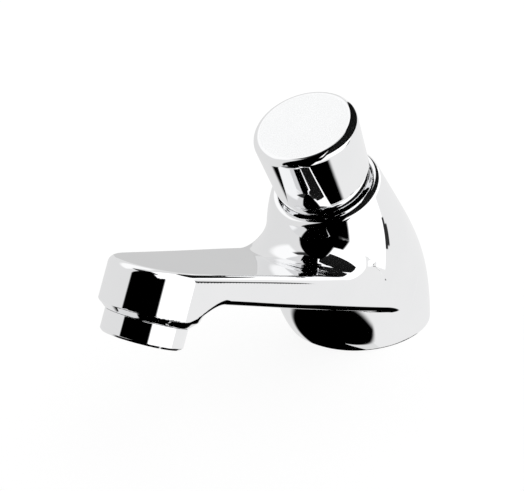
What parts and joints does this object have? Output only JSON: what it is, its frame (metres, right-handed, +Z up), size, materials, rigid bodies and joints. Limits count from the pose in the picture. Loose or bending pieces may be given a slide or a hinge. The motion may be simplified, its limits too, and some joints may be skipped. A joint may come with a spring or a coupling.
{
  "type": "push timed tap",
  "caption": "Self-closing basin tap in chrome: oval leaning column, flat spout with a round nose, and a large tilted push button that returns by itself.",
  "frame": {"origin": "centre of the foot, on the deck plane", "axes": "+Z up from the deck, -Y towards the spout, the YZ plane is the plane of symmetry"},
  "size_m": [0.0512, 0.1694, 0.0961],
  "materials": {
    "body_chrome": "polished chrome over cast brass",
    "button_chrome": "polished chrome with a satin disc on top",
    "ring_chrome": "polished chrome",
    "bare_brass": "turned, unpolished",
    "stainless": "drawn stainless steel",
    "seal_rubber": "smooth black rubber",
    "white_plastic": "moulded acetal",
    "grey_plastic": "moulded plastic"
  },
  "bodies": {
    "tap": {"body": "body_chrome", "aerator_ring": "ring_chrome", "bonnet": "bare_brass", "wiper_ring": "seal_rubber", "stem_oring": "seal_rubber", "bonnet_oring": "seal_rubber", "timing_cylinder": "white_plastic", "cylinder_oring": "seal_rubber", "floor_oring": "seal_rubber", "return_spring": "stainless", "seat_ring": "bare_brass", "seat_oring": "seal_rubber", "inlet_strainer": "stainless", "flow_limiter": "grey_plastic", "limiter_oring": "seal_rubber", "base_gasket": "seal_rubber", "aerator_gasket": "seal_rubber", "aerator_core": "grey_plastic", "aerator_screen_lower": "stainless", "aerator_screen_upper": "stainless", "aerator_grille": "grey_plastic"},
    "button": {"push_button": "button_chrome", "stem": "stainless", "stem_nut": "bare_brass", "piston": "white_plastic", "cup_seal": "seal_rubber", "timing_jet": "stainless", "valve_carrier": "bare_brass", "valve_washer": "seal_rubber", "valve_screw": "stainless"}
  },
  "joints": [
    {"name": "button_press", "type": "slide", "parent": "tap", "child": "button", "axis": [0, 0.4818, -0.8763], "range_m": [0, 0.005], "stiffness_N_per_m": 2600, "springref_m": -0.007, "deforming": ["return_spring"]}
  ]
}
